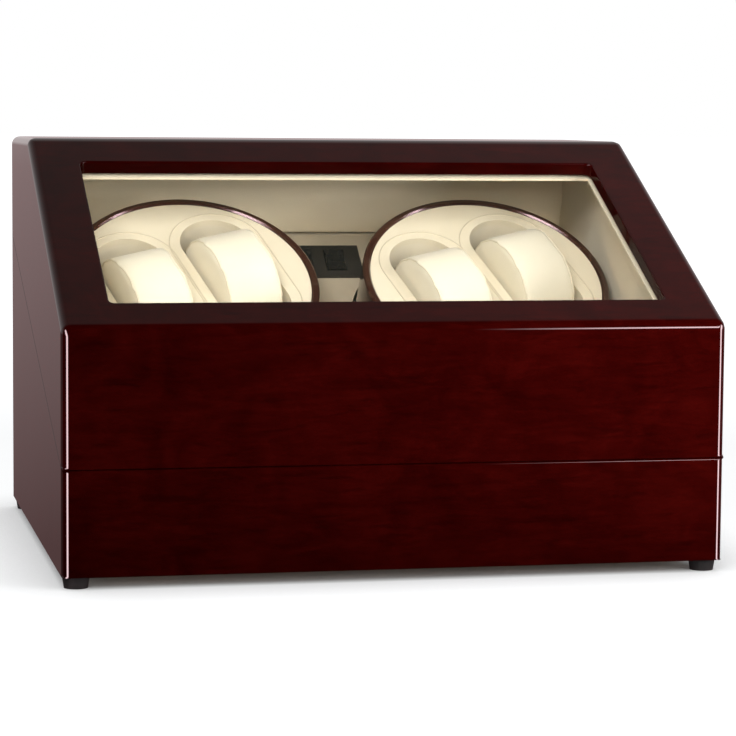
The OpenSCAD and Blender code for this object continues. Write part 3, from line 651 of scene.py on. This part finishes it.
def in_window(a, b):
    """Whether an edge runs round the window opening."""
    inverse = SLOPE_TURN.inverted()
    return all(
        WINDOW_LOW.x - MM < p.x < WINDOW_HIGH.x + MM and WINDOW_LOW.y - MM < p.y < WINDOW_HIGH.y + MM
        for p in (inverse @ a, inverse @ b)
    )


def base_shell():
    """The base's wooden shell: outline, cavity, inlet hole and hinge slots."""
    shell = prism("base_shell", BASE_OUTLINE, -CASE_X, CASE_X)
    low = min(z for y, z in BASE_OUTLINE)
    cavity = block("cavity", (-INNER_X, FRONT_Y + WALL, low - 10 * MM), (INNER_X, BACK_Y - WALL, CASE_TOP))
    inlet_low, inlet_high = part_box("dc_jack")
    middle = (inlet_low + inlet_high) / 2
    hole_start = (middle.x, BACK_Y - WALL - MM, middle.z)
    hole_end = (middle.x, BACK_Y + MM, middle.z)
    inlet = rod("inlet", hole_start, hole_end, INLET_HOLE)
    cut(shell, cavity, inlet)
    cut(shell, *hinge_cutters("base"))
    shell.data.materials.clear()
    shell.data.materials.append(WOOD)

    def width_of(a, b):
        outer = outer_edge(a, b)
        if outer >= 2:
            return OUTER_ROUND
        on_split = all(near(p.z, split_height(BASE_OUTLINE, p.y, True)) for p in (a, b))
        on_floor = near(a.z, low) and near(b.z, low)
        if outer == 1 and on_split:
            return parting_round(a, b)
        return PARTING_ROUND if outer == 1 and on_floor else 0.0

    weigh_edges(shell, width_of)
    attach(shell, "base")
    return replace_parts(shell, "base_front_panel", "base_side_left", "base_side_right", "base_back_panel")


# ---------- upholstery ----------

def resample(loop, count):
    """Evenly spaced points round a closed loop of (y, z) points."""
    ends = loop[1:] + loop[:1]
    lengths = [math.dist(a, b) for a, b in zip(loop, ends)]
    total = sum(lengths)
    found, index, passed = [], 0, 0.0
    for k in range(count):
        target = total * k / count
        while passed + lengths[index] < target:
            passed += lengths[index]
            index += 1
        share = (target - passed) / lengths[index]
        a, b = loop[index], ends[index]
        found.append((a[0] + (b[0] - a[0]) * share, a[1] + (b[1] - a[1]) * share))
    return found


def back_roll():
    """The padded roll along the lid's back: a soft bulge with gathered ends and a few pulls in the hide."""
    low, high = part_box("lid_back_pad")
    flat_y, middle_z = high.y, (low.z + high.z) / 2
    loop = resample(outline("lid_back_pad"), 96)
    steps = 180
    mesh = bmesh.new()
    rings = []
    for i in range(steps + 1):
        x = low.x + (high.x - low.x) * i / steps
        from_end = min(x - low.x, high.x - x)
        gather = math.exp(-from_end / (4 * MM))
        ring = []
        for y, z in loop:
            bulge = (flat_y - y) / (flat_y - low.y)
            turn = math.atan2(z - middle_z, flat_y - y + MM)
            end_pull = 0.30 * math.sin(x * 210 + 4 * turn) * math.exp(-from_end / (14 * MM))
            pull = end_pull + 0.12 * math.sin(x * 47 + turn)
            inward = (1.6 * gather + max(0.0, pull) + 0.05) * MM * min(1.0, bulge * 3)
            rise = z - middle_z
            sag = 0.9 * MM * max(0.0, 1 - (z - low.z) / (14 * MM))
            ring.append(mesh.verts.new((x, y + inward, middle_z + rise * (1 - 0.02 * gather) - sag)))
        rings.append(ring)
    for a, b in zip(rings, rings[1:]):
        for k in range(len(loop)):
            m = (k + 1) % len(loop)
            mesh.faces.new((a[k], a[m], b[m], b[k]))
    for ring in (rings[0], rings[-1]):
        mesh.faces.new(ring)
    bmesh.ops.recalc_face_normals(mesh, faces=mesh.faces)
    piece = flat_faces(smooth(to_object("back_roll", mesh, LINING)), 50)
    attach(piece, "lid")
    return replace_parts(piece, "lid_back_pad")


# ---------- turntables ----------

SIDES = ("left", "right")


def flat_side(node):
    """The normal of a node's largest flat side, pointing to +X."""
    areas = {}
    for face in NODES[node].data.polygons:
        key = tuple(round(c, 2) for c in face.normal)
        areas[key] = areas.get(key, 0) + face.area
    normal = Vector(max(areas, key=areas.get)).normalized()
    return normal if normal.x > 0 else -normal


def frame_of(node, out):
    """A frame at a cushion's middle: X across its width, Z out of its seat."""
    low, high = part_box(node)
    z = Vector(out).normalized()
    x = flat_side(node)
    x = (x - z * x.dot(z)).normalized()
    y = z.cross(x)
    turn = Matrix((x, y, z)).transposed().to_4x4()
    return Matrix.Translation((low + high) / 2) @ turn


def local_size(node, turn):
    """A node's size along the axes of a frame."""
    inverse = turn.inverted()
    local = [inverse @ p for p in points(node)]
    return Vector([max(p[i] for p in local) - min(p[i] for p in local) for i in range(3)])


# ---------- cushions ----------

PUFF_CAP = 3.2 * MM
PUFF_INSET = 2.6 * MM


def cushion_blank(name, size):
    """A cushion's blank: a slab with half-round ends, a little smaller than the finished cushion."""
    half = Vector(size) / 2 - Vector((PUFF_INSET, PUFF_INSET, PUFF_INSET)) * 0.9
    straight = half.y - half.z
    arc = 24
    loop = []
    for end in (1, -1):
        for k in range(arc + 1):
            a = math.radians(90 - 180 * k / arc) if end > 0 else math.radians(-90 - 180 * k / arc)
            loop.append((end * straight + half.z * math.cos(a), half.z * math.sin(a)))
    mesh = bmesh.new()
    rings = [[mesh.verts.new((x, y, z)) for y, z in loop] for x in (-half.x, half.x)]
    mesh.faces.new(rings[0])
    mesh.faces.new(rings[1][::-1])
    for i in range(len(loop)):
        j = (i + 1) % len(loop)
        mesh.faces.new((rings[0][i], rings[1][i], rings[1][j], rings[0][j]))
    bmesh.ops.remove_doubles(mesh, verts=mesh.verts, dist=1e-6)
    bmesh.ops.recalc_face_normals(mesh, faces=mesh.faces)
    return to_object(name, mesh)


def puff(piece, voxel=3 * MM, pressure=4.0, frames=20):
    """Swells a closed piece like a filled cover, with no point moving further than the cap."""
    remesh = piece.modifiers.new("voxels", "REMESH")
    remesh.mode = "VOXEL"
    remesh.voxel_size = voxel
    apply_modifiers(piece)
    rest = np.array([v.co[:] for v in piece.data.vertices])
    cloth = piece.modifiers.new("cloth", "CLOTH")
    cloth.settings.quality = 4
    cloth.settings.tension_stiffness = 18
    cloth.settings.compression_stiffness = 18
    cloth.settings.bending_stiffness = 2
    cloth.settings.use_pressure = True
    cloth.settings.uniform_pressure_force = pressure
    cloth.settings.effector_weights.gravity = 0
    cloth.point_cache.frame_start = 1
    cloth.point_cache.frame_end = frames
    for number in range(1, frames + 1):
        SCENE.frame_set(number)
    seen = piece.evaluated_get(bpy.context.evaluated_depsgraph_get())
    moved = np.array([v.co[:] for v in seen.data.vertices]) - rest
    piece.modifiers.clear()
    SCENE.frame_set(1)
    length = np.linalg.norm(moved, axis=1, keepdims=True)
    moved *= np.minimum(1.0, PUFF_CAP / np.maximum(length, 1e-9))
    for vertex, place in zip(piece.data.vertices, rest + moved):
        vertex.co = place
    return piece


def seam_path(surface, half_width, size, count=110):
    """Points round one side of a cushion, laid on its puffed surface."""
    tree = BVHTree.FromObject(surface, bpy.context.evaluated_depsgraph_get())
    path = []
    half = Vector(size) / 2
    straight = half.y - half.z
    for k in range(count):
        a = math.tau * k / count
        y = half.z * math.cos(a) + (straight if math.cos(a) > 0 else -straight)
        z = half.z * math.sin(a)
        place = tree.find_nearest(Vector((half_width, y, z)))[0]
        path.append(place)
    return path


def cushion_kit(name, size):
    """The shared meshes of one kind of cushion: the puffed body and its two piped seams, in its own frame."""
    body = puff(cushion_blank(name, size))
    subdivide = body.modifiers.new("fine", "SUBSURF")
    subdivide.levels = subdivide.render_levels = 1
    apply_modifiers(body)
    smooth(body)
    half_width = size[0] / 2
    seams = [seam_path(body, sign * half_width, size) for sign in (-1, 1)]
    return body, seams


def place_cushion(node, kit, turn):
    """Puts one cushion and its seams where its CAD solid is. Its body has the node's name."""
    body, seams = kit
    mesh = body.data.copy()
    mesh.transform(turn)
    piece = smooth(to_object(node + "_cover", mesh, LIT_CUSHION))
    for index, seam in enumerate(seams):
        line = tube(f"{node}_seam_{index + 1}", [turn @ p for p in seam], 0.55 * MM, SEAM, closed=True)
        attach(line, node)
    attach(piece, node)
    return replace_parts(piece, node)


def cushion_row(blank, nodes, out_of):
    """Puffs one cushion and puts a copy of it at each node. out_of gives the way out of a node's seat."""
    turns = {node: frame_of(node, out_of(node)) for node in nodes}
    kit = cushion_kit(blank, local_size(nodes[0], turns[nodes[0]]))
    for node, turn in turns.items():
        place_cushion(node, kit, turn)
    bpy.data.objects.remove(kit[0])


WELL_REACH = 50 * MM  # further than a well's own edge, and nearer than the pad's rim
WELL_LINE_OFFSET = 1.9 * MM


def well_line(node, side):
    """The pressed line round a cushion's well, a little outside its edge, on the pad's face."""
    turn = frame_of(node, JOINTS[node + "_lift"]["axis"])
    inverse = turn.inverted()
    local = [inverse @ p for p in points(f"drum_pad_{side}")]
    face = max(p.z for p in local)
    edge = [p for p in local if p.z > face - 0.1 * MM and abs(p.y) < WELL_REACH and abs(p.x) < WELL_REACH / 2]
    radius = max(abs(p.x) for p in edge)
    straight = max(abs(p.y) for p in edge) - radius
    outside = radius + WELL_LINE_OFFSET
    path = []
    count = 96
    for k in range(count):
        a = math.tau * (k + 0.5) / count
        y = outside * math.sin(a) + math.copysign(straight, math.sin(a))
        path.append(turn @ Vector((outside * math.cos(a), y, face)))
    line = tube(node + "_well_line", path, 0.33 * MM, LINE, closed=True)
    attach(line, f"turntable_{side}")


def cushions():
    """Two winder cushions on each turntable, and a row of storage cushions in the tray."""
    winders = [f"winder_cushion_{i}" for i in range(1, 5)]
    storage = [f"storage_cushion_{i}" for i in range(1, 7)]
    cushion_row("winder_blank", winders, lambda node: JOINTS[node + "_lift"]["axis"])
    for index, node in enumerate(winders):
        well_line(node, SIDES[index // 2])
    cushion_row("storage_blank", storage, lambda node: (0, 0, 1))


# ---------- carried-over CAD nodes ----------

def paint_nodes():
    """Every CAD node that shows keeps its shape and gets its finish here."""
    plan = {
        "base_bottom_board": (BOARD, 0.3), "rubber_feet": (RUBBER, 1.3), "foot_screws": (STEEL, 0.15),
        "base_lining": (LINING, 0.9), "deck_boards": (SHADED_DECK, 1.0), "switch_plate": (BLACK_PLATE, 0.4),
        "switch_bodies": (BLACK, 0.2), "storage_tray": (LINING, 0.7), "motor_board": (PLY, 0.3),
        "support_cleats": (BOARD, 0.3), "bearing_bushes": (BRONZE, 0.2), "gear_motors": (MOTOR, 0.3),
        "motor_screws": (STEEL, 0.15), "control_board": (BOARD_GREEN, 0.0), "board_standoffs": (WHITE, 0.1),
        "wiring": (WIRE, 0.0), "dc_jack": (BLACK, 0.2), "hinge_base_leaves": (BRASS, 0.12),
        "hinge_base_screws": (BRASS, 0.08), "hinge_pins": (STEEL, 0.1), "window_pane": (GLASS, 0.0),
        "lid_frame_lining": (LINING, 0.4), "lid_lining": (LINING, 0.9), "hinge_lid_leaves": (BRASS, 0.12),
        "hinge_lid_screws": (BRASS, 0.08),
    }
    for side in SIDES:
        plan.update({
            f"drum_cup_{side}": (DRUM, 0.3), f"drum_pad_{side}": (SHADED_PAD, 1.4),
            f"drum_wells_{side}": (WELL, 0.2),
            f"drum_spindle_{side}": (STEEL, 0.15), f"drum_gear_{side}": (ACETAL, 0.0),
            f"pinion_{side}": (PINION, 0.0), f"rocker_{side}": (ROCKER, 0.4),
        })
    for node, (material, bevel) in plan.items():
        paint(node, material, bevel * MM, 3)


# ---------- studio ----------

def camera():
    """From the front left, a little above, with a long lens."""
    yaw, pitch, roll = (math.radians(v) for v in (12.29, -5.40, 0.47))
    forward = Vector((math.sin(yaw) * math.cos(pitch), math.cos(yaw) * math.cos(pitch), math.sin(pitch)))
    level = Vector((math.cos(yaw), -math.sin(yaw), 0))
    rise = level.cross(forward)
    right = level * math.cos(roll) + rise * math.sin(roll)
    up = rise * math.cos(roll) - level * math.sin(roll)
    data = bpy.data.cameras.new("camera")
    data.sensor_width = 36
    data.lens = 130.1
    data.clip_end = 60
    holder = bpy.data.objects.new("camera", data)
    SCENE.collection.objects.link(holder)
    aside, away, above = 0.2978, 1.2852, 0.2261
    place = Vector((-aside, FRONT_Y - away, min(z for y, z in BASE_OUTLINE) + above))
    holder.matrix_world = Matrix.Translation(place) @ Matrix((right, up, -forward)).transposed().to_4x4()
    SCENE.camera = holder


def area_light(name, place, target, size, power, colour=(1, 1, 1)):
    """A rectangular light in watts, aimed at a point and absent from reflections."""
    data = bpy.data.lights.new(name, "AREA")
    data.shape = "RECTANGLE"
    data.size, data.size_y = size
    data.energy = power
    data.color = colour
    holder = bpy.data.objects.new(name, data)
    SCENE.collection.objects.link(holder)
    direction = Vector(target) - Vector(place)
    holder.matrix_world = Matrix.Translation(place) @ direction.to_track_quat("-Z", "Y").to_matrix().to_4x4()
    holder.visible_glossy = False
    holder.visible_camera = False


def world():
    """White for the camera, an even fill, and for reflections a studio that is dark in front.

    Two upright strips and a short high one give the lacquered edges their thin highlights.
    """
    made = bpy.data.worlds.new("studio")
    made.use_nodes = True
    SCENE.world = made
    w = Nodes(made.node_tree)
    w.tree.nodes.clear()
    axes = w.node("ShaderNodeSeparateXYZ", {0: w.node("ShaderNodeTexCoord").outputs["Generated"]})
    x, y, z = axes.outputs

    def rise(value, low, high, to_low=0.0, to_high=1.0):
        return w.span(value, low, high, to_low, to_high, "SMOOTHSTEP")

    def band(value, low, high, soft):
        fall = rise(value, high - soft, high + soft, 1.0, 0.0)
        return w.math("MULTIPLY", rise(value, low - soft, low + soft), fall)

    def background(colour, strength):
        colour = colour if isinstance(colour, bpy.types.NodeSocket) else (*colour, 1)
        return w.node("ShaderNodeBackground", {"Color": colour, "Strength": strength}).outputs[0]

    lowest, highest = -0.5, 1.0
    levels = (
        (lowest, (0.02, 0.015, 0.015)), (-0.16, (0.13, 0.075, 0.075)), (-0.02, (0.35, 0.25, 0.25)),
        (0.05, (0.70, 0.62, 0.62)), (0.30, (0.50, 0.48, 0.48)), (0.83, (0.115, 0.105, 0.10)),
        (highest, (0.12, 0.11, 0.11)),
    )
    stops = [((level - lowest) / (highest - lowest), colour) for level, colour in levels]
    sky = w.colours(w.span(z, lowest, highest), *stops)
    behind = rise(y, -0.05, 0.35)
    ahead = rise(w.math("MULTIPLY", y, -1.0), 0.30, 0.45)
    left = band(x, -0.72, -0.46, 0.05)
    right = band(x, 0.72, 0.90, 0.04)
    canopy = w.math("MULTIPLY", band(z, 0.42, 0.54, 0.04), band(x, 0.29, 0.55, 0.04))
    uprights = w.math("MULTIPLY", w.math("MAXIMUM", left, right), rise(z, -0.45, -0.25))
    strips = w.math("MULTIPLY", w.math("MAXIMUM", uprights, canopy), ahead)
    strength = w.math("MULTIPLY", strips, 22.0)
    glossy = w.node("ShaderNodeAddShader", {
        0: background(sky, behind), 1: background((1.0, 0.72, 0.76), strength),
    }).outputs[0]
    rays = w.node("ShaderNodeLightPath").outputs
    fill = background((1.0, 0.96, 0.90), 0.22)
    white = background((1, 1, 1), 1.0)
    seen = w.node("ShaderNodeMixShader", {0: rays["Is Glossy Ray"], 1: fill, 2: glossy}).outputs[0]
    last = w.node("ShaderNodeMixShader", {0: rays["Is Camera Ray"], 1: seen, 2: white}).outputs[0]
    w.tree.links.new(last, w.node("ShaderNodeOutputWorld").inputs[0])


def floor():
    """A plain pale floor that glows, with a painted contact shadow: its glow is a little darker close to the
    box.
    """
    mesh = bmesh.new()
    bmesh.ops.create_grid(mesh, x_segments=1, y_segments=1, size=30)
    s = Shader("pale_floor", Roughness=0.9, Specular_IOR_Level=0.0, Emission_Color=(0.97, 0.985, 1, 1))
    away = s.node("ShaderNodeVectorMath", {0: s.place}, operation="LENGTH").outputs["Value"]
    # The floor glows though it is no lamp. Ambient occlusion dims the glow near the box as a painted contact
    # shadow, and the glow rises further out.
    open_sky = s.node("ShaderNodeAmbientOcclusion", {"Distance": 0.06}, samples=8).outputs["AO"]
    glow_with_contact_shadow = s.math("MULTIPLY", s.math("POWER", open_sky, 0.9), 0.82)
    s.join(
        Base_Color=s.colours(s.noise(3, 2), (0.3, (0.27, 0.27, 0.27)), (0.7, (0.30, 0.30, 0.30))),
        Emission_Strength=s.math("ADD", glow_with_contact_shadow, s.span(away, 0.5, 1.5, 0.0, 0.3)),
    )
    piece = to_object("floor", mesh, s.material)
    piece.visible_glossy = False


def lights():
    """A soft key from the front left, a low front fill, and two weak lights from the right and above."""
    area_light("key", (-0.75, -1.55, 1.10), (0, 0, 0.12), (0.9, 0.8), 32)
    area_light("front", (-0.15, -2.2, 0.55), (0, 0, 0.12), (0.9, 0.4), 20, (1, 0.97, 0.92))
    area_light("right_front", (0.52, -0.62, 0.26), (0.12, -0.12, 0.11), (0.25, 0.35), 5)
    area_light("overhead", (0.0, -0.1, 1.6), (0, 0, 0), (1.6, 1.2), 3)


def main():
    """Camera first, then the case, the soft pieces, the CAD nodes' finishes and the studio."""
    SCENE.view_settings.view_transform = "Standard"
    camera()
    lid_shell()
    base_shell()
    back_roll()
    paint_nodes()
    cushions()
    floor()
    lights()
    world()


main()
